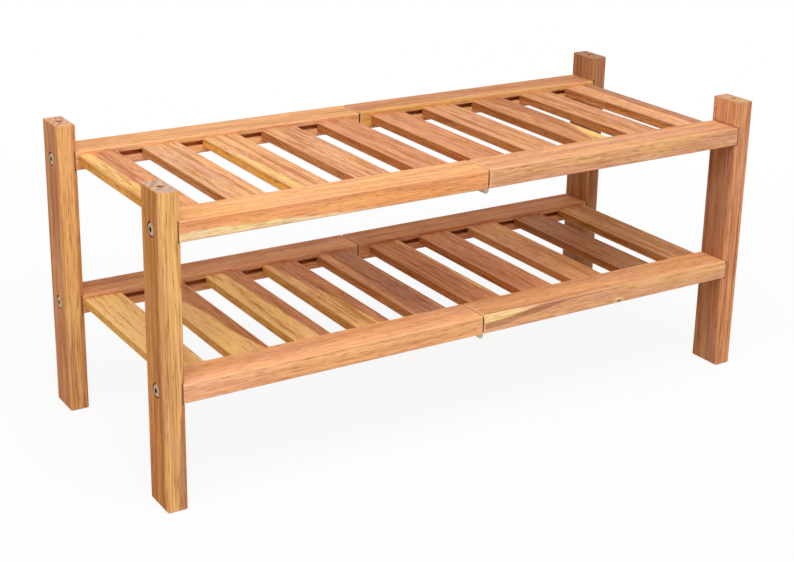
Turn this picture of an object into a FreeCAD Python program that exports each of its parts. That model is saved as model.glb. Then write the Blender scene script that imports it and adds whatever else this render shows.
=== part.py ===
import FreeCAD, Part
import os
import re
import Sketcher

# Two-tier slatted shoe rack in oiled hardwood, in millimetres.
# X runs along the shelves, Y from the front to the rear, and Z up.
# The origin is on the floor under the middle of the rack.

SIZES = {
    # Whole rack
    "overall_width": 700,
    "overall_depth": 290,
    "overall_height": 310,
    "top_shelf_height": 282,
    "lower_shelf_height": 127,
    # Planed stock of the posts and rails
    "stock_wide": 40,
    "stock_thick": 20,
    "edge_round": 2,
    "post_end_round": 1.2,
    "rail_end_round": 1.5,
    # Rail ends let into the posts, and the split between the shelf halves
    "dado_depth": 3,
    "dado_clearance": 0.4,
    "split_gap": 1.5,
    # Slats with a stub tongue in a stopped groove of the rails
    "slats_per_half": 5,
    "slat_width": 40,
    "slat_thick": 10,
    "slat_drop": 4,
    "slat_round": 1,
    "slat_post_gap": 1.5,
    "slat_split_gap": 14.5,
    "tongue_thick": 5.5,
    "tongue_length": 8,
    "tongue_inset": 2,
    "groove_clearance": 0.2,
    "groove_end_clearance": 0.5,
    # Furniture bolts through the posts into barrel nuts in the rails
    "bolt_diameter": 6,
    "bolt_length": 50,
    "bolt_head_diameter": 14,
    "bolt_head_height": 3.6,
    "bolt_head_round": 3,
    "bolt_socket_across": 5,
    "bolt_socket_depth": 2.2,
    "bolt_hole_clearance": 0.5,
    "bolt_end_clearance": 2,
    "counterbore_clearance": 1,
    "nut_diameter": 10,
    "nut_length": 12,
    "nut_setback": 28,
    "nut_hole_clearance": 0.2,
    "nut_slot_width": 1.2,
    "nut_slot_depth": 1.5,
    "thread_clearance": 0.1,
    # Butt hinges under the rails, across the split
    "hinge_length": 30,
    "leaf_width": 18,
    "leaf_thick": 1.5,
    "knuckle_diameter": 6.4,
    "knuckle_gap": 0.3,
    "pin_diameter": 3,
    "pin_clearance": 0.1,
    "screw_diameter": 3,
    "screw_length": 12,
    "screw_tip": 3,
    "screw_head_diameter": 6,
    "screw_offset": 11.5,
    "screw_pitch": 18,
    "screw_slot_width": 0.9,
    "screw_slot_depth": 0.6,
    # Blind holes for the pins that stack one rack on another
    "stack_hole_diameter": 6,
    "stack_hole_depth": 15,
}

SHELVES = ("top", "lower")
ROWS = ("front", "rear")
SIDES = ("left", "right")

# Corner radius of a hexagon over its width across flats
HEX_CORNER = 3 ** -0.5
HALF_TURN = 180
# Least volume that a feature changes, most that a line in line may stray, and room for rounding
LEAST_CHANGE = 1e-6
OUT_OF_LINE = 1e-3
SAME_LEVEL = 1e-4
X_AXIS = FreeCAD.Vector(1, 0, 0)
Y_AXIS = FreeCAD.Vector(0, 1, 0)
Z_AXIS = FreeCAD.Vector(0, 0, 1)

# Lengths worked out from the sizes
HALF_WIDTH = "(overall_width / 2)"
HALF_DEPTH = "(overall_depth / 2)"
POST_INNER = f"({HALF_WIDTH} - stock_thick)"
RAIL_START = f"({POST_INNER} + dado_depth)"
RAIL_LENGTH = f"({RAIL_START} - split_gap / 2)"
ROW_PITCH = "(overall_depth - stock_wide)"
SHELF_RISE = "(top_shelf_height - lower_shelf_height)"
SLAT_SPAN = "(overall_depth - 2 * stock_wide)"
SLAT_FIRST = f"({POST_INNER} - slat_post_gap)"
SLAT_LAST = "(slat_split_gap + slat_width)"
SLAT_PITCH = f"(({SLAT_FIRST} - {SLAT_LAST}) / (slats_per_half - 1))"
TONGUE_RISE = "((slat_thick - tongue_thick) / 2)"
GROOVE_RISE = f"(stock_thick - slat_drop - slat_thick + {TONGUE_RISE})"
BOLT_HOLE = "(bolt_diameter + bolt_hole_clearance)"
BOLT_REACH = "(bolt_head_height + bolt_length - stock_thick + dado_depth)"
THREAD_HOLE = "(bolt_diameter + thread_clearance)"
KNUCKLE_RADIUS = "(knuckle_diameter / 2)"
KNUCKLE_LENGTH = "((hinge_length - 2 * knuckle_gap) / 3)"
MID_KNUCKLE_START = f"({KNUCKLE_LENGTH} + knuckle_gap)"
MID_KNUCKLE_END = f"({MID_KNUCKLE_START} + {KNUCKLE_LENGTH})"
HINGE_INSET = "((stock_wide - hinge_length) / 2)"
SCREW_NEAR = "((hinge_length - screw_pitch) / 2)"

doc = FreeCAD.newDocument("shoe_rack")
sheet = doc.addObject("Spreadsheet::Sheet", "Sizes")
for row, (alias, size) in enumerate(SIZES.items(), start=1):
    sheet.set(f"A{row}", alias)
    sheet.set(f"B{row}", str(size))
    sheet.setAlias(f"B{row}", alias)
doc.recompute()


def formula(text):
    """Turn a sum of size names into an expression on the sheet."""
    return re.sub(r"[a-z][a-z_]*", lambda word: "Sizes." + word.group(0), text)


def number(text):
    """Present value of a sum of size names."""
    return float(sheet.evalExpression(formula(text)))


def bind(thing, target, text):
    thing.setExpression(target, formula(text))


def new_body(label):
    body = doc.addObject("PartDesign::Body", label)
    body.Label = label
    return body


def place(body, x, y, z, axis=Z_AXIS, angle=0):
    """Turn a body about an axis through its own origin and put that origin at x, y, z."""
    body.Placement = FreeCAD.Placement(FreeCAD.Vector(), FreeCAD.Rotation(axis, angle))
    for letter, text in zip("xyz", (x, y, z)):
        bind(body, f"Placement.Base.{letter}", text)


def set_in_corner(body, row, side, reach, height):
    """Put a post or rail in its corner: the left ones stay as drawn, the right ones turn half round."""
    front = f"(0 - {HALF_DEPTH})" if row == "front" else f"({HALF_DEPTH} - stock_wide)"
    if side == "left":
        place(body, f"(0 - {reach})", front, height)
    else:
        place(body, reach, f"({front} + stock_wide)", height, angle=HALF_TURN)
    return body


def datum(body, role):
    return next(item for item in body.Origin.OriginFeatures if item.Role == role)


def new_sketch(body, role, x="0", y="0", z="0"):
    """Sketch on an origin plane, shifted by x, y and z in that plane's own axes."""
    sketch = body.newObject("Sketcher::SketchObject", "Sketch")
    sketch.AttachmentSupport = [(datum(body, role), "")]
    sketch.MapMode = "FlatFace"
    for letter, text in zip("xyz", (x, y, z)):
        bind(sketch, f"AttachmentOffset.Base.{letter}", text)
    return sketch


def pin_down(sketch, kind, element, point, name, text):
    """Hold one coordinate of a point to its formula."""
    index = sketch.addConstraint(Sketcher.Constraint(kind, -1, 1, element, point, number(text)))
    sketch.renameConstraint(index, name)
    bind(sketch, f"Constraints.{name}", text)


def outline(sketch, corners):
    """Closed outline of straight lines through the corners."""
    vectors = [FreeCAD.Vector(number(x), number(y), 0) for x, y in corners]
    count = len(corners)
    lines = [
        sketch.addGeometry(Part.LineSegment(vectors[i], vectors[(i + 1) % count]))
        for i in range(count)
    ]
    for i, line in enumerate(lines):
        following = lines[(i + 1) % count]
        sketch.addConstraint(Sketcher.Constraint("Coincident", line, 2, following, 1))
    for line, (x, y) in zip(lines, corners):
        pin_down(sketch, "DistanceX", line, 1, f"across_{line}", x)
        pin_down(sketch, "DistanceY", line, 1, f"along_{line}", y)
    return sketch


def rectangle(sketch, left, low, right, high):
    return outline(sketch, [(left, low), (right, low), (right, high), (left, high)])


def circle(sketch, x, y, diameter):
    centre = FreeCAD.Vector(number(x), number(y), 0)
    ring = sketch.addGeometry(Part.Circle(centre, Z_AXIS, number(diameter) / 2))
    index = sketch.addConstraint(Sketcher.Constraint("Diameter", ring, number(diameter)))
    sketch.renameConstraint(index, f"bore_{ring}")
    bind(sketch, f"Constraints.bore_{ring}", diameter)
    pin_down(sketch, "DistanceX", ring, 3, f"across_{ring}", x)
    pin_down(sketch, "DistanceY", ring, 3, f"along_{ring}", y)
    return sketch


def finish_feature(body, feature, grows):
    """Recompute, and stop if a feature failed or changed nothing."""
    before = feature.BaseFeature.Shape.Volume if feature.BaseFeature else 0
    body.Tip = feature
    doc.recompute()
    change = feature.Shape.Volume - before
    if (change if grows else -change) < LEAST_CHANGE:
        raise RuntimeError(f"{body.Label}: {feature.Name} changes nothing")
    return feature


def pad(body, sketch, length, backwards=False):
    feature = body.newObject("PartDesign::Pad", "Pad")
    feature.Profile = sketch
    feature.Reversed = backwards
    bind(feature, "Length", length)
    return finish_feature(body, feature, True)


def pocket(body, sketch, depth, backwards=False):
    feature = body.newObject("PartDesign::Pocket", "Pocket")
    feature.Profile = sketch
    feature.Reversed = backwards
    bind(feature, "Length", depth)
    return finish_feature(body, feature, False)


def revolve(body, sketch, axis_name):
    feature = body.newObject("PartDesign::Revolution", "Revolution")
    feature.Profile = sketch
    feature.ReferenceAxis = (sketch, [axis_name])
    return finish_feature(body, feature, True)


def ease(body, edges, radius):
    """Round the named edges of the body as it stands."""
    feature = body.newObject("PartDesign::Fillet", "Fillet")
    feature.Base = (feature.BaseFeature, edges)
    bind(feature, "Radius", radius)
    return finish_feature(body, feature, False)


def edges_along(body, axis):
    """Names of the straight edges that run along an axis."""
    found = []
    for index, edge in enumerate(body.Tip.Shape.Edges, start=1):
        run = edge.Vertexes[-1].Point - edge.Vertexes[0].Point
        if run.Length > 0 and run.normalize().cross(axis).Length < OUT_OF_LINE:
            found.append(f"Edge{index}")
    return found


def edges_at(body, axis, *levels):
    """Names of the edges that lie wholly in planes square to an axis."""
    found = []
    for index, edge in enumerate(body.Tip.Shape.Edges, start=1):
        heights = [vertex.Point.dot(axis) for vertex in edge.Vertexes]
        middle = edge.valueAt((edge.FirstParameter + edge.LastParameter) / 2).dot(axis)
        for level in levels:
            if all(abs(height - level) < SAME_LEVEL for height in heights + [middle]):
                found.append(f"Edge{index}")
    return found


def repeat(body, role, pitch):
    """Second copy of everything in the body, one pitch along an axis."""
    feature = body.newObject("PartDesign::LinearPattern", "LinearPattern")
    feature.TransformMode = "Whole shape"
    feature.Direction = (datum(body, role), [""])
    feature.Mode = "Spacing"
    feature.Occurrences = 2
    bind(feature, "Offset", pitch)
    return finish_feature(body, feature, True)


def mirror(body, role):
    """Mirrored copy of everything in the body."""
    feature = body.newObject("PartDesign::Mirrored", "Mirrored")
    feature.TransformMode = "Whole shape"
    feature.MirrorPlane = (datum(body, role), [""])
    return finish_feature(body, feature, True)


def make_post(row, side):
    """Upright with a dado for each rail, bolt holes and stacking holes."""
    body = new_body(f"post_{row}_{side}")
    section = rectangle(new_sketch(body, "XY_Plane"), "0", "0", "stock_thick", "stock_wide")
    pad(body, section, "overall_height")
    ease(body, edges_along(body, Z_AXIS), "edge_round")
    ease(body, edges_at(body, Z_AXIS, 0, number("overall_height")), "post_end_round")

    middle = "(stock_wide / 2)"
    dados = new_sketch(body, "XZ_Plane")
    seats = new_sketch(body, "YZ_Plane")
    holes = new_sketch(body, "YZ_Plane")
    for shelf in SHELVES:
        top = f"{shelf}_shelf_height"
        low = f"({top} - stock_thick - dado_clearance)"
        high = f"({top} + dado_clearance)"
        rectangle(dados, "(stock_thick - dado_depth)", low, "(stock_thick + dado_depth)", high)
        centre = f"({top} - stock_thick / 2)"
        circle(seats, middle, centre, "(bolt_head_diameter + counterbore_clearance)")
        circle(holes, middle, centre, BOLT_HOLE)
    pocket(body, dados, "stock_wide")
    pocket(body, seats, "bolt_head_height", backwards=True)
    pocket(body, holes, "stock_thick", backwards=True)

    across = "(stock_thick / 2)"
    for height, upwards in (("overall_height", False), ("0", True)):
        end = new_sketch(body, "XY_Plane", z=height)
        circle(end, across, middle, "stack_hole_diameter")
        pocket(body, end, "stack_hole_depth", backwards=upwards)

    return set_in_corner(body, row, side, HALF_WIDTH, "0")


def make_rail(shelf, row, side):
    """Half of a shelf's long side: x runs from the post end to the split."""
    body = new_body(f"{shelf}_rail_{row}_{side}")
    section = rectangle(new_sketch(body, "XY_Plane"), "0", "0", RAIL_LENGTH, "stock_wide")
    pad(body, section, "stock_thick")
    ease(body, edges_along(body, X_AXIS), "edge_round")
    ease(body, edges_at(body, X_AXIS, 0, number(RAIL_LENGTH)), "rail_end_round")

    groove_on_far_side = (row == "front") == (side == "left")
    start = "(dado_depth + slat_post_gap + tongue_inset - groove_end_clearance)"
    end = f"({RAIL_START} - slat_split_gap - tongue_inset + groove_end_clearance)"
    high = f"({GROOVE_RISE} + tongue_thick + groove_clearance)"
    face = "(0 - stock_wide)" if groove_on_far_side else "0"
    groove = rectangle(new_sketch(body, "XZ_Plane", z=face), start, GROOVE_RISE, end, high)
    pocket(body, groove, "(tongue_length + groove_end_clearance)", backwards=groove_on_far_side)

    middle = "(stock_wide / 2)"
    bolt_hole = circle(new_sketch(body, "YZ_Plane"), middle, "(stock_thick / 2)", BOLT_HOLE)
    pocket(body, bolt_hole, f"({BOLT_REACH} + bolt_end_clearance)", backwards=True)
    nut_hole = new_sketch(body, "XY_Plane")
    circle(nut_hole, "nut_setback", middle, "(nut_diameter + nut_hole_clearance)")
    pocket(body, nut_hole, "((stock_thick + nut_length) / 2)", backwards=True)

    pilots = new_sketch(body, "XY_Plane")
    for sign in "+-":
        across = f"({middle} {sign} screw_pitch / 2)"
        circle(pilots, f"({RAIL_START} - screw_offset)", across, "(screw_diameter + thread_clearance)")
    pocket(body, pilots, "screw_length", backwards=True)

    return set_in_corner(body, row, side, RAIL_START, f"({shelf}_shelf_height - stock_thick)")


def make_slat(shelf, side, index):
    """Slat between the rails, counted from the post, with a tongue at each end."""
    per_half = int(number("slats_per_half"))
    order = index + 1 if side == "left" else 2 * per_half - index
    body = new_body(f"{shelf}_slat_{order:02d}")
    face = rectangle(new_sketch(body, "XY_Plane"), "0", "0", "slat_width", SLAT_SPAN)
    pad(body, face, "slat_thick")
    ease(body, edges_along(body, Y_AXIS), "slat_round")
    tongue = rectangle(
        new_sketch(body, "XY_Plane", z=TONGUE_RISE),
        "tongue_inset",
        "(0 - tongue_length)",
        "(slat_width - tongue_inset)",
        f"({SLAT_SPAN} + tongue_length)",
    )
    pad(body, tongue, "tongue_thick")

    outer_edge = f"({SLAT_FIRST} - {index} * {SLAT_PITCH})"
    left = f"(0 - {outer_edge})" if side == "left" else f"({outer_edge} - slat_width)"
    height = f"({shelf}_shelf_height - slat_drop - slat_thick)"
    place(body, left, f"(stock_wide - {HALF_DEPTH})", height)
    return body


def make_leaf(shelf, row, side):
    """Hinge leaf drawn on its back: the plate runs along x from the knuckles."""
    body = new_body(f"{shelf}_hinge_{row}_{side}_leaf")
    plate = rectangle(new_sketch(body, "XY_Plane"), "0", "0", "leaf_width", "hinge_length")
    pad(body, plate, "leaf_thick")

    outer = [("0", KNUCKLE_LENGTH), (f"(hinge_length - {KNUCKLE_LENGTH})", "hinge_length")]
    middle = [(MID_KNUCKLE_START, MID_KNUCKLE_END)]
    own = outer if side == "left" else middle
    gaps = [(KNUCKLE_LENGTH, f"(hinge_length - {KNUCKLE_LENGTH})")]
    if side == "right":
        gaps = [("0", MID_KNUCKLE_START), (MID_KNUCKLE_END, "hinge_length")]
    for start, end in gaps:
        notch = new_sketch(body, "XY_Plane")
        rectangle(notch, "0", start, f"({KNUCKLE_RADIUS} + knuckle_gap)", end)
        pocket(body, notch, "leaf_thick", backwards=True)
    for start, end in own:
        barrel = new_sketch(body, "XZ_Plane", z=f"(0 - {start})")
        circle(barrel, "0", KNUCKLE_RADIUS, "knuckle_diameter")
        pad(body, barrel, f"({end} - {start})", backwards=True)
    bore = circle(new_sketch(body, "XZ_Plane"), "0", KNUCKLE_RADIUS, "(pin_diameter + pin_clearance)")
    pocket(body, bore, "hinge_length")

    for reach in (SCREW_NEAR, f"({SCREW_NEAR} + screw_pitch)"):
        seat = new_sketch(body, "XZ_Plane", x="screw_offset", z=f"(0 - {reach})")
        countersink(body, seat)

    axis = Y_AXIS if side == "left" else X_AXIS
    near = hinge_front(row)
    start = near if side == "left" else f"({near} + hinge_length)"
    place(body, "0", start, f"({shelf}_shelf_height - stock_thick)", axis=axis, angle=HALF_TURN)
    return body


def countersink(body, seat):
    """Conical screw seat right through the plate, turned about the sketch's upright axis."""
    head = "(screw_head_diameter / 2 + thread_clearance)"
    neck = "(screw_diameter / 2 + thread_clearance)"
    corners = [("0", "0"), (neck, "0"), (head, "leaf_thick"), ("0", "leaf_thick")]
    feature = body.newObject("PartDesign::Groove", "Groove")
    feature.Profile = outline(seat, corners)
    feature.ReferenceAxis = (seat, ["V_Axis"])
    return finish_feature(body, feature, False)


def hinge_front(row):
    """Y of the front end of a hinge."""
    near = f"(0 - {HALF_DEPTH} + {HINGE_INSET})"
    return near if row == "front" else f"({near} + {ROW_PITCH})"


def make_hinge_pin(shelf, row):
    body = new_body(f"{shelf}_hinge_{row}_pin")
    section = circle(new_sketch(body, "XZ_Plane"), "0", "0", "pin_diameter")
    pad(body, section, "hinge_length", backwards=True)
    place(body, "0", hinge_front(row), f"({shelf}_shelf_height - stock_thick - {KNUCKLE_RADIUS})")
    return body


def spread(body):
    """Copy a left front lower fastener to the rear row, the top shelf and the right side."""
    repeat(body, "Y_Axis", ROW_PITCH)
    repeat(body, "Z_Axis", SHELF_RISE)
    mirror(body, "YZ_Plane")
    return body


def make_bolts():
    """Round-headed bolts with a hexagon socket, flush in the posts, one into each rail end."""
    body = new_body("post_bolts")
    height = "(lower_shelf_height - stock_thick / 2)"
    across = f"({HALF_DEPTH} - stock_wide / 2)"
    head, shank = "(bolt_head_diameter / 2)", "(bolt_diameter / 2)"
    tip = "(bolt_head_height + bolt_length)"
    profile = new_sketch(body, "XZ_Plane", x=f"(0 - {HALF_WIDTH})", y=height, z=across)
    outline(profile, [
        ("0", "0"), ("0", head), ("bolt_head_height", head),
        ("bolt_head_height", shank), (tip, shank), (tip, "0"),
    ])
    revolve(body, profile, "H_Axis")
    ease(body, edges_at(body, X_AXIS, -number(HALF_WIDTH)), "bolt_head_round")

    corner = f"({HEX_CORNER} * bolt_socket_across)"
    flat = "(bolt_socket_across / 2)"
    socket = new_sketch(body, "YZ_Plane", x=f"(0 - {across})", y=height, z=f"(0 - {HALF_WIDTH})")
    outline(socket, [
        (corner, "0"), (f"({corner} / 2)", flat), (f"(0 - {corner} / 2)", flat),
        (f"(0 - {corner})", "0"), (f"(0 - {corner} / 2)", f"(0 - {flat})"),
        (f"({corner} / 2)", f"(0 - {flat})"),
    ])
    pocket(body, socket, "bolt_socket_depth", backwards=True)
    return spread(body)


def make_barrel_nuts():
    """Upright cylinders with a cross hole, slotted where they show under the rail."""
    body = new_body("barrel_nuts")
    x = f"(nut_setback - {RAIL_START})"
    y = f"(stock_wide / 2 - {HALF_DEPTH})"
    centre = "(lower_shelf_height - stock_thick / 2)"
    low = f"({centre} - nut_length / 2)"
    barrel = circle(new_sketch(body, "XY_Plane", z=low), x, y, "nut_diameter")
    pad(body, barrel, "nut_length")
    thread = circle(new_sketch(body, "YZ_Plane", z=f"({x} - nut_diameter)"), y, centre, THREAD_HOLE)
    pocket(body, thread, "(2 * nut_diameter)", backwards=True)
    slot = rectangle(
        new_sketch(body, "XY_Plane", z=low),
        f"({x} - nut_diameter)", f"({y} - nut_slot_width / 2)",
        f"({x} + nut_diameter)", f"({y} + nut_slot_width / 2)",
    )
    pocket(body, slot, "nut_slot_depth", backwards=True)
    return spread(body)


def make_hinge_screws():
    """Countersunk wood screws, two in each hinge leaf."""
    body = new_body("hinge_screws")
    low = "(lower_shelf_height - stock_thick - leaf_thick)"
    near = f"({HALF_DEPTH} - {HINGE_INSET} - {SCREW_NEAR})"
    head, shank = "(screw_head_diameter / 2)", "(screw_diameter / 2)"
    profile = new_sketch(body, "XZ_Plane", x="(0 - screw_offset)", y=low, z=near)
    outline(profile, [
        ("0", "0"), (head, "0"), (shank, "leaf_thick"),
        (shank, "(screw_length - screw_tip)"), ("0", "screw_length"),
    ])
    revolve(body, profile, "V_Axis")
    slot = rectangle(
        new_sketch(body, "XY_Plane", z=low),
        "(0 - screw_offset - screw_head_diameter)", f"(0 - {near} - screw_slot_width / 2)",
        "(screw_head_diameter - screw_offset)", f"(0 - {near} + screw_slot_width / 2)",
    )
    pocket(body, slot, "screw_slot_depth", backwards=True)
    repeat(body, "Y_Axis", "screw_pitch")
    return spread(body)


def make_rack():
    """Every piece of the rack, in place."""
    parts = [make_post(row, side) for row in ROWS for side in SIDES]
    slats = range(int(number("slats_per_half")))
    for shelf in SHELVES:
        parts += [make_rail(shelf, row, side) for row in ROWS for side in SIDES]
        parts += [make_slat(shelf, side, index) for side in SIDES for index in slats]
        for row in ROWS:
            parts += [make_leaf(shelf, row, side) for side in SIDES]
            parts.append(make_hinge_pin(shelf, row))
    parts += [make_bolts(), make_barrel_nuts(), make_hinge_screws()]
    doc.recompute()
    return parts


def check_rack(parts):
    for thing in doc.Objects:
        if "Invalid" in thing.State or "Error" in thing.State:
            raise RuntimeError(f"{thing.Name} failed: {thing.State}")
    for part in parts:
        if part.Shape.isNull() or not part.Shape.isValid():
            raise RuntimeError(f"{part.Label} has no valid shape")


def write_rack(parts):
    os.makedirs("parts", exist_ok=True)
    for part in parts:
        part.Shape.exportStep(f"parts/{part.Label}.step")
        print(f"{part.Label}: {len(part.Shape.Solids)} solid(s), {part.Shape.Volume:.1f} mm3")


rack = make_rack()
check_rack(rack)
write_rack(rack)
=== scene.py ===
import math
import random

import bpy
from mathutils import Matrix, Vector


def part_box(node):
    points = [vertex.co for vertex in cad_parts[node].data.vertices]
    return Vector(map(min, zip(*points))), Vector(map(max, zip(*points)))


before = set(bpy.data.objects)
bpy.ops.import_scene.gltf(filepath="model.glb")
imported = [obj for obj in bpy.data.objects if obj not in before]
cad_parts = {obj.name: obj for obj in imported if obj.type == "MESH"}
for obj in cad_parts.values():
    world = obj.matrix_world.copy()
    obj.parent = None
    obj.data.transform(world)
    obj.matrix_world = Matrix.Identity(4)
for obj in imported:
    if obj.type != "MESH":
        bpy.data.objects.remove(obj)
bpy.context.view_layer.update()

MILLIMETRE = 0.001
WHITE = (1.0, 1.0, 1.0)

# Camera, from the lines of the posts and rails in the photograph: metres and degrees
PICTURE_WIDTH = 794
SENSOR_WIDTH = 36.0
FOCAL_PIXELS = 1524.0
CAMERA_PLACE = (-0.8427, -1.3076, 0.709)
CAMERA_AZIMUTH = -32.33
CAMERA_ELEVATION = 18.46
CAMERA_ROLL = 1.11
LENS_SHIFT = -0.08

# Light: power in watts, side and place in metres
WORLD_STRENGTH = 0.25
LAMP_TARGET = (0.0, 0.0, 0.16)
LAMPS = {
    "key_lamp": dict(power=40.0, side=1.8, place=(-0.40, -1.05, 2.05)),
    "left_lamp": dict(power=6.0, side=0.9, place=(-2.2, -0.4, 1.05)),
    "rear_lamp": dict(power=10.0, side=1.5, place=(0.9, 1.9, 1.1)),
    "right_lamp": dict(power=5.0, side=1.2, place=(2.2, 0.3, 0.9)),
}

# Floor: its reach and colour, and its share of plain white near the rack and past the shadow
FLOOR_REACH = 40.0
FLOOR_COLOUR = (0.95, 0.95, 0.95)
FLOOR_GLOW = (0.9, 1.0)
SHADOW_REACH = (0.45, 1.1)

# Cells of the grain: metres along it and across it
DRIFT_CELL = (0.22, 0.05)
CLOUD_CELL = (0.13, 0.016)
HUE_CELL = (0.11, 0.013)
WAVER_CELL = (0.08, 0.02)
STREAK_CELL = (0.060, 0.0024)
FIBRE_CELL = (0.020, 0.0012)
PORE_CELL = (0.009, 0.0012)
MOTTLE_CELL = (0.0032, 0.0032)

# Growth rings, how far the drift bends them, and the step aside to the noise of the hue, in metres
RING_WIDTH = 0.0050
WANDER = 0.009
HUE_ASIDE = (3.0, 5.0, 7.0)

# Detail and roughness of the noises, and the value that they vary about
SLOW_NOISE = (2.0, 0.5)
STREAK_NOISE = (2.0, 0.55)
FIBRE_NOISE = (2.0, 0.6)
PORE_NOISE = (1.0, 0.5)
RING_NOISE = (3.0, 0.6)
NOISE_MIDDLE = 0.5

# Ranges of the draws for a board: its place in the noises, its lean, its pith and its first ring
PLACE_DRAW = (0, 20)
LEAN_DRAW = (-0.03, 0.03)
PITH_ASIDE_DRAW = (0.012, 0.05)
PITH_BELOW_DRAW = (0.03, 0.09)
RING_DRAW = (0, 100)

# Zones of other tones and knots: how far they waver, blur and spread
WAVER_REACH = 12.0 * MILLIMETRE
ZONE_BLUR = 1.2 * MILLIMETRE
KNOT_STRETCH = 1.5
KNOT_HEART = (1.2 * MILLIMETRE, 1.9 * MILLIMETRE)
KNOT_HALO = (3.4 * MILLIMETRE, 6.0 * MILLIMETRE)
KNOT_HALO_TONE = "straw"

# Rubbed, painted-lit arrises, painted shade in recesses, dark joints: the distances where each
# comes or goes
EDGE_WEAR_AND_HIGHLIGHT = (0.6 * MILLIMETRE, 2.0 * MILLIMETRE)
SPLIT_WEAR_AND_HIGHLIGHT = (0.9 * MILLIMETRE, 2.4 * MILLIMETRE)
RECESS_SHADE_START = (0.7 * MILLIMETRE, 1.2 * MILLIMETRE)
POST_JOINT = (1.1 * MILLIMETRE, 1.9 * MILLIMETRE)
SPLIT_JOINT = (0.4 * MILLIMETRE, 1.0 * MILLIMETRE)
SPLIT_DEPTH_WIDE = (0.9 * MILLIMETRE, 1.9 * MILLIMETRE)
SPLIT_DEPTH_THICK = (2.0 * MILLIMETRE, 3.4 * MILLIMETRE)

# Facings between which a slat side, an end, an upper face or an underside sets in
SIDE_SHADE_FACING = (0.5, 0.9)
END_FACING = (0.75, 0.95)
UPPER_HIGHLIGHT_RISE = (0.6, 0.9)
UNDERSIDE_SHADE_RISE = (-0.85, -0.25)

# How far bands, clouds, streaks and fibres pull the wood from its light shade to its dark one
BAND_PULL, CLOUD_PULL, STREAK_PULL, FIBRE_PULL = 1.3, 1.0, 1.2, 1.7
MIDDLE_SHADE = 0.33

# Gains on the red, green and blue of a tone, and the shares and turns that go with them
LIGHT_GAIN = (1.08, 1.14, 1.19)
DARK_GAIN = (0.66, 0.49, 0.37)
GOLDEN_GAIN = (1.03, 1.04, 0.92)
RUDDY_GAIN = (0.97, 0.955, 1.04)
HUE_TURN = (0.36, 0.64)
PORE_GAIN = (0.42, 0.30, 0.22)
PORE_START = (0.55, 0.68)
PORE_SHARE = 0.45
# Lighter arrises: partly rubbed by use, partly a painted highlight
WEAR_AND_HIGHLIGHT_GAIN = (1.12, 1.28, 1.42)
# Painted shade on the side faces of slats, a dark and a pale strength
SIDE_SHADE_GAINS = {"dark": (0.73, 0.58, 0.38), "pale": (0.95, 0.78, 0.45)}
# Painted shade on faces that look down
UNDERSIDE_SHADE_GAIN = (0.66, 0.54, 0.45)
END_RING_PULL = 1.4
END_TURN = (0.28, 0.74)
END_LIGHT_GAIN = (1.12, 1.12, 1.12)
END_DARK_GAIN = (0.76, 0.68, 0.62)
KNOT_GAIN = (0.30, 0.20, 0.14)
# Painted shade in the holes and dados of the posts
RECESS_SHADE_GAIN = (0.42, 0.30, 0.19)
RECESS_SHADE_SHARE = 0.85
# Dark rail ends: dirt and painted shade at the posts, painted shade far into the split
JOINT_DIRT_AND_SHADE_GAIN = (0.16, 0.10, 0.07)
JOINT_DIRT_AND_SHADE_SHARE = 0.9

# Relief and gloss of the wood
FIBRE_HEIGHT = 0.6
WOOD_BUMP = 0.25
WOOD_BUMP_REACH = 0.3 * MILLIMETRE
ROUGHNESS_TURN = (0.2, 0.8)
WOOD_ROUGHNESS = (0.50, 0.68)
WOOD_SPECULAR = 0.02

# Zinc plate: its colours, its clouds, scratches and bump, and painted shade in the sockets of the
# bolts
BOLT_ZINC = dict(colour=(182, 160, 126), roughness=0.2)
HINGE_ZINC = dict(colour=(198, 180, 148), roughness=0.24)
ZINC_CLOUD_SCALE, ZINC_SCRATCH_SCALE = 260.0, 1500.0
ZINC_CLOUD_NOISE, ZINC_SCRATCH_NOISE = (3.0, 0.6), (2.0, 0.6)
ZINC_TURN = (0.3, 0.7)
DULL_GAIN = (0.86, 0.85, 0.83)
SMOOTHER, ROUGHER = 0.06, 0.08
ZINC_BUMP = 0.12
ZINC_BUMP_REACH = 0.1 * MILLIMETRE
SOCKET_DEPTH = (1.2 * MILLIMETRE, 1.9 * MILLIMETRE)
SOCKET_SHADE_GAIN = (0.16, 0.14, 0.12)

# Tones of the wood, as screen colours from 0 to 255
TONES = {
    "straw": (255, 218, 158),
    "cream": (255, 188, 128),
    "wheat": (255, 204, 132),
    "yellow": (254, 200, 128),
    "gold": (243, 182, 112),
    "ochre": (243, 184, 119),
    "apricot": (252, 185, 134),
    "peach": (244, 179, 125),
    "sand": (239, 178, 130),
    "honey": (239, 173, 126),
    "amber": (250, 172, 115),
    "tan": (231, 165, 117),
    "rose": (229, 158, 111),
    "brass": (222, 162, 108),
    "copper": (217, 149, 102),
    "russet": (213, 142, 83),
    "umber": (203, 143, 105),
    "chestnut": (192, 134, 94),
    "cinnamon": (188, 118, 68),
    "bisque": (208, 173, 148),
    "clay": (224, 174, 134),
    "mocha": (178, 134, 106),
}
# How far a tone is moved to its light shade, as painted light on the wheat and straw wood
PAINTED_LIGHT_LIFTS = {"straw": 0.2, "wheat": 0.3}

# Kinds of board: the axis, strength and stretch of the grain, and the rubbing and painted highlight
# of arrises
KINDS = {
    "post": dict(grain="Z", strength=1.25, length=2.5, wear_and_highlight=0.5),
    "rail": dict(grain="X", strength=0.8, length=1.5, wear_and_highlight=0.8),
    "slat": dict(grain="Y", strength=1.45, length=1.5, wear_and_highlight=0.6),
}
# Axes along the grain, across the width and through the board
AXES = {"X": (0, 1, 2), "Y": (1, 0, 2), "Z": (2, 1, 0)}

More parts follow.
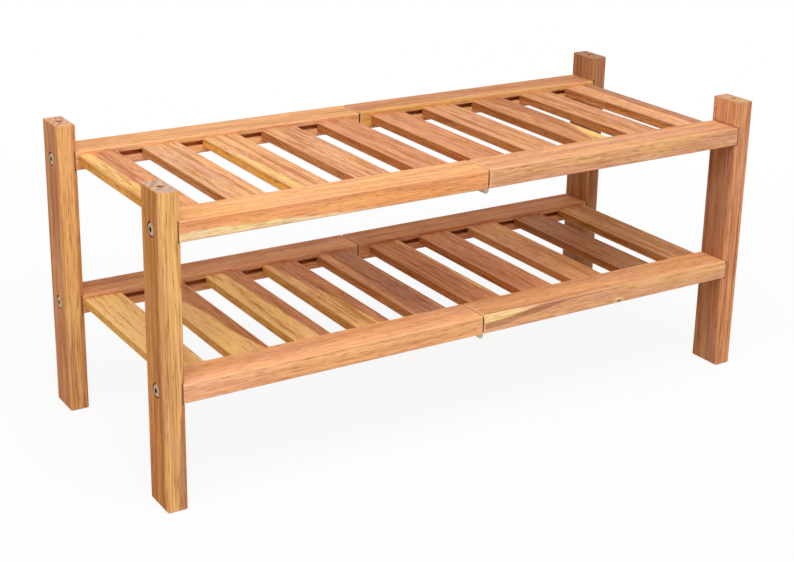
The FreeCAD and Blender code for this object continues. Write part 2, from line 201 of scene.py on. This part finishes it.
# The sRGB curve of screen colours
SCREEN_TOP = 255
STRAIGHT_END, STRAIGHT_SLOPE = 0.04045, 12.92
CURVE_OFFSET, CURVE_POWER = 0.055, 2.4

# Sockets of a mix node that mixes colours
MIX_SHARE, MIX_FIRST, MIX_SECOND, MIX_RESULT = 0, 6, 7, 2


def linear(colour):
    """A screen colour from 0 to 255 as the light that it stands for."""
    def channel(value):
        share = value / SCREEN_TOP
        if share <= STRAIGHT_END:
            return share / STRAIGHT_SLOPE
        return ((share + CURVE_OFFSET) / (1 + CURVE_OFFSET)) ** CURVE_POWER
    return tuple(channel(value) for value in colour)


def opaque(colour, gain=WHITE):
    """A colour for a shader socket, with each channel times its gain."""
    return tuple(part * by for part, by in zip(colour, gain)) + (1.0,)


class Nodes:
    """The node tree of a material or a world, and the short calls that fill it."""

    def __init__(self, owner):
        owner.use_nodes = True
        self.owner = owner
        self.tree = owner.node_tree
        self.tree.nodes.clear()

    def feed(self, socket, value):
        if isinstance(value, bpy.types.NodeSocket):
            self.tree.links.new(value, socket)
        else:
            socket.default_value = value

    def add(self, kind, inputs, **settings):
        node = self.tree.nodes.new(kind)
        for name, value in settings.items():
            setattr(node, name, value)
        for name, value in inputs.items():
            self.feed(node.inputs[name], value)
        return node

    def number(self, operation, *values):
        inputs = dict(enumerate(values))
        return self.add("ShaderNodeMath", inputs, operation=operation).outputs[0]

    def vector(self, operation, *values):
        inputs = dict(enumerate(values))
        return self.add("ShaderNodeVectorMath", inputs, operation=operation).outputs[0]

    def measure(self, operation, *values):
        """The length or the dot product of vectors."""
        inputs = dict(enumerate(values))
        return self.add("ShaderNodeVectorMath", inputs, operation=operation).outputs["Value"]

    def noise(self, place, texture, scale=1.0):
        detail, roughness = texture
        inputs = {"Vector": place, "Scale": scale, "Detail": detail, "Roughness": roughness}
        return self.add("ShaderNodeTexNoise", inputs).outputs

    def centred(self, noise):
        return self.number("SUBTRACT", noise, NOISE_MIDDLE)

    def parts(self, vector):
        return self.add("ShaderNodeSeparateXYZ", {0: vector}).outputs

    def reorder(self, vector, order):
        parts = self.parts(vector)
        inputs = {to: parts[axis] for to, axis in enumerate(order)}
        return self.add("ShaderNodeCombineXYZ", inputs).outputs[0]

    def step(self, value, start, end, low=0.0, high=1.0):
        """A smooth step, from low at the start to high at the end."""
        inputs = {"Value": value, "From Min": start, "From Max": end, "To Min": low, "To Max": high}
        return self.add("ShaderNodeMapRange", inputs, interpolation_type="SMOOTHSTEP").outputs[0]

    def fall(self, value, start, end):
        """A smooth step down, from 1 at the start to 0 at the end."""
        return self.step(value, start, end, 1.0, 0.0)

    def blend(self, share, first, second, how="MIX"):
        inputs = {MIX_SHARE: share, MIX_FIRST: first, MIX_SECOND: second}
        node = self.add("ShaderNodeMix", inputs, data_type="RGBA", blend_type=how)
        return node.outputs[MIX_RESULT]

    def background_rays(self):
        """1 for the rays that show the background: from the camera, off metal or through glass."""
        path = self.add("ShaderNodeLightPath", {}).outputs
        seen = self.number("MAXIMUM", path["Is Camera Ray"], path["Is Glossy Ray"])
        return self.number("MAXIMUM", seen, path["Is Transmission Ray"])

    def surface(self, shader, output="ShaderNodeOutputMaterial"):
        self.add(output, {"Surface": shader})
        return self.owner


class Board(Nodes):
    """The wood of one piece: its node tree, its own draws and the places that its looks follow.

    Places and facings run along the grain, across the width and through the board. Rooms are the
    distances to its ends, edges and faces, and depth is the one to the nearest edge or face. Rise
    is how far a face looks up. Lengths are in metres.
    """

    def __init__(self, piece):
        super().__init__(bpy.data.materials.new("wood_" + piece))
        self.draw = random.Random(piece)
        self.kind = next(kind for kind in KINDS if kind in piece.split("_"))
        low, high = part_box(piece)
        order = AXES[KINDS[self.kind]["grain"]]
        half = [(high[axis] - low[axis]) / 2 for axis in order]

        seen = self.add("ShaderNodeTexCoord", {}).outputs
        middle = self.vector("SUBTRACT", seen["Object"], tuple((low + high) / 2))
        self.place = self.reorder(middle, order)
        self.facing = self.parts(self.vector("ABSOLUTE", self.reorder(seen["Normal"], order)))
        self.rise = self.parts(seen["Normal"])[2]
        within = self.parts(self.vector("ABSOLUTE", self.place))
        self.rooms = [self.number("SUBTRACT", size, part) for size, part in zip(half, within)]
        self.depth = self.number("MINIMUM", self.rooms[1], self.rooms[2])
        if self.kind == "rail":
            self.to_post, self.to_split = self.rail_ends(half[0], piece.endswith("left"))

        shift = tuple(self.draw.uniform(*PLACE_DRAW) for _ in range(3))
        self.shifted = self.vector("ADD", self.place, shift)
        self.bands = self.growth_bands()

    def rail_ends(self, half, on_left):
        """Room to the end of a rail in its post, and to the end at the split."""
        along = self.parts(self.place)[0]
        ends = self.number("ADD", half, along), self.number("SUBTRACT", half, along)
        return ends if on_left else ends[::-1]

    def grain(self, place, cell, texture):
        """Noise in cells of one length along the grain and another across it."""
        along, across = cell
        cells = self.vector("MULTIPLY", place, (1 / along, 1 / across, 1 / across))
        return self.noise(cells, texture)

    def growth_bands(self):
        """Uneven growth rings round a pith that lies off the board, bent by a slow drift."""
        drift = self.grain(self.shifted, DRIFT_CELL, SLOW_NOISE)["Color"]
        centred = self.vector("SUBTRACT", drift, (NOISE_MIDDLE, NOISE_MIDDLE, NOISE_MIDDLE))
        sway = self.vector("MULTIPLY", centred, (0.0, WANDER, WANDER))
        along, wide, thick = self.parts(self.vector("ADD", self.place, sway))
        lean = self.draw.uniform(*LEAN_DRAW)
        pith_aside = self.draw.choice((-1, 1)) * self.draw.uniform(*PITH_ASIDE_DRAW)
        pith_below = self.draw.uniform(*PITH_BELOW_DRAW)
        across = self.number("ADD", self.number("MULTIPLY_ADD", along, lean, wide), pith_aside)
        through = self.number("ADD", thick, pith_below)
        below = self.number("MULTIPLY", through, through)
        square = self.number("MULTIPLY_ADD", across, across, below)
        count = self.number("MULTIPLY", self.number("SQRT", square), 1 / RING_WIDTH)
        ring = self.number("ADD", count, self.draw.uniform(*RING_DRAW))
        detail, roughness = RING_NOISE
        inputs = {"W": ring, "Scale": 1.0, "Detail": detail, "Roughness": roughness}
        return self.add("ShaderNodeTexNoise", inputs, noise_dimensions="1D").outputs[0]

    def shade(self, drawn, fibre, strength):
        """Share of the dark shade, from the bands, clouds, streaks and fibres."""
        cloud = self.grain(self.shifted, CLOUD_CELL, SLOW_NOISE)[0]
        streak = self.grain(drawn, STREAK_CELL, STREAK_NOISE)[0]
        layers = (
            (self.bands, BAND_PULL),
            (cloud, CLOUD_PULL),
            (streak, STREAK_PULL),
            (fibre, FIBRE_PULL),
        )
        shade = MIDDLE_SHADE
        for layer, pull in layers:
            shade = self.number("MULTIPLY_ADD", self.centred(layer), pull * strength, shade)
        return shade

    def toned(self, shade, name):
        """A tone of the wood, between its light shade and its dark one."""
        plain = linear(TONES[name])
        # Painted light: lifted tones move toward their light shade
        share = self.number("SUBTRACT", shade, PAINTED_LIGHT_LIFTS[name]) if name in PAINTED_LIGHT_LIFTS else shade
        return self.blend(share, opaque(plain, LIGHT_GAIN), opaque(plain, DARK_GAIN))

    def zone_share(self, lie, start):
        """1 past a wavy plane through the board, where the tone of the wood changes."""
        waver = self.centred(self.grain(self.shifted, WAVER_CELL, SLOW_NOISE)[0])
        past = self.measure("DOT_PRODUCT", self.place, lie)
        past = self.number("MULTIPLY_ADD", waver, WAVER_REACH, past)
        edge = start * MILLIMETRE
        return self.step(past, edge - ZONE_BLUR, edge + ZONE_BLUR)

    def knot_radius(self, along, thick):
        """Distance from the axis of a knot through the width, less along the grain."""
        centre = (along * MILLIMETRE, 0.0, thick * MILLIMETRE)
        aside = self.vector("SUBTRACT", self.place, centre)
        return self.measure("LENGTH", self.vector("MULTIPLY", aside, (1 / KNOT_STRETCH, 0.0, 1.0)))

    def figure(self, shade, tone, zones, knots):
        """Colour of the plain wood: its tone, zones of other tones, knots and a drift of hue."""
        colour = self.toned(shade, tone)
        for lie, start, name in zones:
            colour = self.blend(self.zone_share(lie, start), colour, self.toned(shade, name))
        for along, thick in knots:
            radius = self.knot_radius(along, thick)
            halo = self.fall(radius, *KNOT_HALO)
            heart = self.fall(radius, *KNOT_HEART)
            colour = self.blend(halo, colour, self.toned(shade, KNOT_HALO_TONE))
            colour = self.blend(heart, colour, opaque(linear(TONES[tone]), KNOT_GAIN))
        aside = self.vector("ADD", self.shifted, HUE_ASIDE)
        hue = self.step(self.grain(aside, HUE_CELL, SLOW_NOISE)[0], *HUE_TURN)
        tint = self.blend(hue, opaque(GOLDEN_GAIN), opaque(RUDDY_GAIN))
        return self.blend(1.0, colour, tint, "MULTIPLY")

    def end_grain(self, tone):
        """Pale cut end of the board with its growth rings and a fine mottle."""
        pale = linear(TONES[tone])
        mottle = self.grain(self.place, MOTTLE_CELL, RING_NOISE)[0]
        mixed = self.number("MULTIPLY_ADD", self.centred(self.bands), END_RING_PULL, mottle)
        light, dark = opaque(pale, END_LIGHT_GAIN), opaque(pale, END_DARK_GAIN)
        return self.blend(self.step(mixed, *END_TURN), light, dark)

    def edge_wear_and_highlight(self):
        """Rubbed and painted-lit: 1 on the arrises, and on upper faces at a rail's split, 0 away
        from them.
        """
        to_side = self.number("ADD", self.rooms[1], self.rooms[2])
        to_end = self.number("ADD", self.rooms[0], self.depth)
        wear_and_highlight = self.fall(self.number("MINIMUM", to_side, to_end), *EDGE_WEAR_AND_HIGHLIGHT)
        if self.kind != "rail":
            return wear_and_highlight
        # At the split only upper faces, where light falls: rubbed ends and a painted highlight
        at_split = self.fall(self.to_split, *SPLIT_WEAR_AND_HIGHLIGHT)
        upper_highlight = self.number("MULTIPLY", at_split, self.step(self.rise, *UPPER_HIGHLIGHT_RISE))
        return self.number("MAXIMUM", wear_and_highlight, upper_highlight)

    def recess_shade(self):
        """1 in the holes and dados of a post, which take painted shade."""
        return self.step(self.number("MINIMUM", self.rooms[0], self.depth), *RECESS_SHADE_START)

    def end_joint_dirt_and_shade(self):
        """1 where a rail meets its post (dirt and painted shade) and far into its split (painted
        shade).
        """
        at_post = self.fall(self.to_post, *POST_JOINT)
        at_split = self.fall(self.to_split, *SPLIT_JOINT)
        from_front = self.step(self.rooms[1], *SPLIT_DEPTH_WIDE)
        from_top = self.step(self.rooms[2], *SPLIT_DEPTH_THICK)
        deep_shade = self.number("MULTIPLY", from_front, from_top)
        return self.number("MAXIMUM", at_post, self.number("MULTIPLY", at_split, deep_shade))

    def worked(self, colour, main, sides, end_tone):
        """Ends, rubbed and painted-lit arrises, painted shade on sides, undersides and holes, dark
        joints.
        """
        if self.kind == "slat":
            # Painted shade on the side faces of a slat
            side_shade = self.step(self.facing[1], *SIDE_SHADE_FACING)
            colour = self.blend(side_shade, colour, opaque(SIDE_SHADE_GAINS[sides]), "MULTIPLY")
        end = self.step(self.facing[0], *END_FACING)
        colour = self.blend(end, colour, self.end_grain(end_tone))
        # Lighter arrises: partly rubbed by use, partly a painted highlight
        worn_and_lit = self.number("MULTIPLY", self.edge_wear_and_highlight(), KINDS[self.kind]["wear_and_highlight"])
        colour = self.blend(worn_and_lit, colour, opaque(main, WEAR_AND_HIGHLIGHT_GAIN))
        # Painted shade on faces that look down
        underside_shade = self.fall(self.rise, *UNDERSIDE_SHADE_RISE)
        colour = self.blend(underside_shade, colour, opaque(UNDERSIDE_SHADE_GAIN), "MULTIPLY")
        if self.kind == "post":
            # Painted shade in the holes and dados
            sunk_shade = self.number("MULTIPLY", self.recess_shade(), RECESS_SHADE_SHARE)
            colour = self.blend(sunk_shade, colour, opaque(main, RECESS_SHADE_GAIN))
        if self.kind == "rail":
            # Dirt and painted shade at the post, painted shade far into the split
            dirt_and_shade = self.number("MULTIPLY", self.end_joint_dirt_and_shade(), JOINT_DIRT_AND_SHADE_SHARE)
            colour = self.blend(dirt_and_shade, colour, opaque(main, JOINT_DIRT_AND_SHADE_GAIN))
        return colour


def make_wood(piece, tone, zones=(), knots=(), sides="dark", end_tone="bisque", contrast=1.0):
    """Oiled hardwood with its own grain, tone, zones of other tones and knots on each piece.

    A zone is how a plane lies (along the grain, across the width, through the board), its distance
    from the middle of the board in millimetres, and the tone past it. A knot is its place along the
    grain and through the board, in millimetres from the middle. The sides pick the painted shade of
    a slat's side faces, the end tone is that of the end grain, and the contrast is a factor on the
    grain.
    """
    board = Board(piece)
    kind = KINDS[board.kind]
    main = linear(TONES[tone])
    drawn = board.vector("MULTIPLY", board.shifted, (1 / kind["length"], 1.0, 1.0))
    fibre = board.grain(drawn, FIBRE_CELL, FIBRE_NOISE)[0]
    pore = board.step(board.grain(drawn, PORE_CELL, PORE_NOISE)[0], *PORE_START)
    shade = board.shade(drawn, fibre, kind["strength"] * contrast)
    colour = board.figure(shade, tone, zones, knots)
    pitted = board.number("MULTIPLY", pore, PORE_SHARE)
    colour = board.blend(pitted, colour, opaque(main, PORE_GAIN))
    colour = board.worked(colour, main, sides, end_tone)

    height = board.number("SUBTRACT", board.number("MULTIPLY", fibre, FIBRE_HEIGHT), pore)
    relief = {"Strength": WOOD_BUMP, "Distance": WOOD_BUMP_REACH, "Height": height}
    inputs = {
        "Base Color": colour,
        "Roughness": board.step(fibre, *ROUGHNESS_TURN, *WOOD_ROUGHNESS),
        "Specular IOR Level": WOOD_SPECULAR,
        "Normal": board.add("ShaderNodeBump", relief).outputs[0],
    }
    return board.surface(board.add("ShaderNodeBsdfPrincipled", inputs).outputs[0])


def make_zinc(name, colour, roughness, reach=None):
    """Plated steel, a little uneven and scratched, with painted shade far below outer faces at
    reach.

    The reach is how far those faces lie to the left and right of the rack's middle, in metres.
    """
    nodes = Nodes(bpy.data.materials.new(name))
    place = nodes.add("ShaderNodeTexCoord", {}).outputs["Object"]
    cloud = nodes.noise(place, ZINC_CLOUD_NOISE, ZINC_CLOUD_SCALE)[0]
    scratch = nodes.noise(place, ZINC_SCRATCH_NOISE, ZINC_SCRATCH_SCALE)[0]
    main = linear(colour)
    tint = nodes.blend(nodes.step(cloud, *ZINC_TURN), opaque(main, DULL_GAIN), opaque(main))
    if reach is not None:
        depth = nodes.number("SUBTRACT", reach, nodes.number("ABSOLUTE", nodes.parts(place)[0]))
        # Painted shade in the sockets and at the rims of the bolt heads
        tint = nodes.blend(nodes.step(depth, *SOCKET_DEPTH), tint, opaque(main, SOCKET_SHADE_GAIN))
    relief = {"Strength": ZINC_BUMP, "Distance": ZINC_BUMP_REACH, "Height": scratch}
    inputs = {
        "Base Color": tint,
        "Metallic": 1.0,
        "Roughness": nodes.step(scratch, *ZINC_TURN, roughness - SMOOTHER, roughness + ROUGHER),
        "Normal": nodes.add("ShaderNodeBump", relief).outputs[0],
    }
    return nodes.surface(nodes.add("ShaderNodeBsdfPrincipled", inputs).outputs[0])


def dress(piece, material):
    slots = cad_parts[piece].data.materials
    slots.clear()
    slots.append(material)


# Ways across the width, which runs to the rear on posts and rails and to the right on slats
FRONT = LEFT = (0, -1, 0)
RIGHT = (0, 1, 0)

# The look of each board, as make_wood takes it
LOOKS = {
    "post_front_left": dict(
        tone="russet",
        zones=[
            ((0.01, -1, 0), 8, "cinnamon"),
            ((0.01, -1, 0), 12, "russet"),
            (FRONT, 16, "ochre"),
            ((-0.04, 0, 1), 8, "chestnut"),
        ],
        contrast=0.85,
    ),
    # Painted light and shade: honey on the upper left face, lit over the shelf, chestnut below in
    # its shade
    "post_front_right": dict(
        tone="chestnut", zones=[((0.5, 0, -1), 73, "honey"), (FRONT, 17, "rose")], end_tone="clay"
    ),
    "post_rear_left": dict(
        tone="copper", zones=[(FRONT, 16, "ochre")], end_tone="clay", contrast=1.2
    ),
    # Chestnut tone, darker in part as painted shade on this rear post under the shelves
    "post_rear_right": dict(tone="chestnut", end_tone="mocha"),
    "top_rail_front_left": dict(
        tone="cream", zones=[(FRONT, 18, "amber"), ((-0.033, 0, -1), 6.1, "straw")]
    ),
    "top_rail_front_right": dict(tone="honey", zones=[(FRONT, 18, "sand")], contrast=1.1),
    "top_rail_rear_left": dict(tone="peach"),
    "top_rail_rear_right": dict(tone="copper", zones=[(FRONT, 14, "gold")]),
    "lower_rail_front_left": dict(tone="apricot"),
    "lower_rail_front_right": dict(
        tone="peach",
        zones=[
            (FRONT, 18, "sand"),
            ((-0.09, -3, 1), 69, "umber"),
            ((-0.09, -3, 1), 76, "straw"),
        ],
        knots=[(11, -8)],
    ),
    "lower_rail_rear_left": dict(tone="tan"),
    "lower_rail_rear_right": dict(tone="copper"),
    "top_slat_01": dict(tone="rose", zones=[(LEFT, 8, "yellow")], sides="pale"),
    "top_slat_02": dict(tone="sand", zones=[((-0.08, 1, 0), 8, "apricot")]),
    "top_slat_03": dict(tone="peach", zones=[((-0.03, -1, 0), 12, "yellow")], sides="pale"),
    "top_slat_04": dict(tone="honey", contrast=1.2),
    "top_slat_05": dict(tone="rose"),
    "top_slat_06": dict(tone="rose", contrast=0.8),
    "top_slat_07": dict(tone="tan", contrast=0.9),
    "top_slat_08": dict(tone="copper", zones=[((-0.3, 1, 0), 26, "yellow")]),
    "top_slat_09": dict(tone="tan"),
    "top_slat_10": dict(tone="umber", zones=[(LEFT, -4, "apricot")]),
    "lower_slat_01": dict(tone="wheat"),
    "lower_slat_02": dict(tone="wheat", zones=[((0.12, 1, 0), 2, "copper")]),
    "lower_slat_03": dict(tone="wheat", zones=[((0.05, 1, 0), 3, "copper")]),
    "lower_slat_04": dict(tone="copper", zones=[((-0.12, -1, 0), 0, "yellow")]),
    "lower_slat_05": dict(tone="umber", zones=[((0.06, -1, 0), 12, "tan")]),
    "lower_slat_06": dict(tone="copper", zones=[(RIGHT, 15, "yellow")]),
    "lower_slat_07": dict(tone="rose"),
    "lower_slat_08": dict(tone="peach"),
    "lower_slat_09": dict(tone="chestnut"),
    "lower_slat_10": dict(tone="brass"),
}


def dress_rack():
    for piece, look in LOOKS.items():
        dress(piece, make_wood(piece, **look))
    bolt_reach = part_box("post_bolts")[1][0]
    dress("post_bolts", make_zinc("bolt_zinc", **BOLT_ZINC, reach=bolt_reach))
    hinge_zinc = make_zinc("hinge_zinc", **HINGE_ZINC)
    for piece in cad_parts:
        if piece not in LOOKS and piece != "post_bolts":
            dress(piece, hinge_zinc)


def make_floor():
    """A white floor that keeps a soft shadow near the rack and is plain white further out."""
    nodes = Nodes(bpy.data.materials.new("floor_white"))
    place = nodes.add("ShaderNodeTexCoord", {}).outputs["Object"]
    glow = nodes.step(nodes.measure("LENGTH", place), *SHADOW_REACH, *FLOOR_GLOW)
    share = nodes.number("MULTIPLY", nodes.background_rays(), glow)
    matt = nodes.add("ShaderNodeBsdfDiffuse", {"Color": opaque(FLOOR_COLOUR)}).outputs[0]
    white = nodes.add("ShaderNodeEmission", {"Color": opaque(WHITE), "Strength": 1.0}).outputs[0]
    mixed = nodes.add("ShaderNodeMixShader", {0: share, 1: matt, 2: white}).outputs[0]
    mesh = bpy.data.meshes.new("floor")
    signs = ((-1, -1), (1, -1), (1, 1), (-1, 1))
    corners = [(x * FLOOR_REACH, y * FLOOR_REACH, 0.0) for x, y in signs]
    mesh.from_pydata(corners, [], [(0, 1, 2, 3)])
    mesh.materials.append(nodes.surface(mixed))
    floor = bpy.data.objects.new("floor", mesh)
    bpy.context.scene.collection.objects.link(floor)


def make_world():
    """White behind the floor, and a plain even light on the rack."""
    nodes = Nodes(bpy.data.worlds.new("studio"))
    shown = nodes.background_rays()
    strength = nodes.number("MULTIPLY_ADD", shown, 1.0 - WORLD_STRENGTH, WORLD_STRENGTH)
    inputs = {"Color": opaque(WHITE), "Strength": strength}
    back = nodes.add("ShaderNodeBackground", inputs).outputs[0]
    bpy.context.scene.world = nodes.surface(back, "ShaderNodeOutputWorld")


def make_lamp(name, power, side, place):
    lamp = bpy.data.lights.new(name, "AREA")
    lamp.energy = power
    lamp.size = side
    holder = bpy.data.objects.new(name, lamp)
    holder.location = place
    toward = Vector(LAMP_TARGET) - Vector(place)
    holder.rotation_euler = toward.to_track_quat("-Z", "Y").to_euler()
    bpy.context.scene.collection.objects.link(holder)


def make_camera():
    """The photograph's viewing angle."""
    data = bpy.data.cameras.new("camera")
    data.sensor_width = SENSOR_WIDTH
    data.lens = FOCAL_PIXELS / PICTURE_WIDTH * SENSOR_WIDTH
    data.shift_y = LENS_SHIFT
    azimuth, elevation = math.radians(CAMERA_AZIMUTH), math.radians(CAMERA_ELEVATION)
    level = math.cos(elevation)
    back = Vector((math.sin(azimuth) * level, -math.cos(azimuth) * level, math.sin(elevation)))
    aim = (-back).to_track_quat("-Z", "Y").to_matrix()
    roll = Matrix.Rotation(math.radians(CAMERA_ROLL), 3, "Z")
    camera = bpy.data.objects.new("camera", data)
    camera.location = CAMERA_PLACE
    camera.rotation_euler = (aim @ roll).to_euler()
    bpy.context.scene.collection.objects.link(camera)
    bpy.context.scene.camera = camera


dress_rack()
make_floor()
make_world()
for lamp_name, lamp_look in LAMPS.items():
    make_lamp(lamp_name, **lamp_look)
make_camera()
bpy.context.scene.view_settings.view_transform = "Standard"
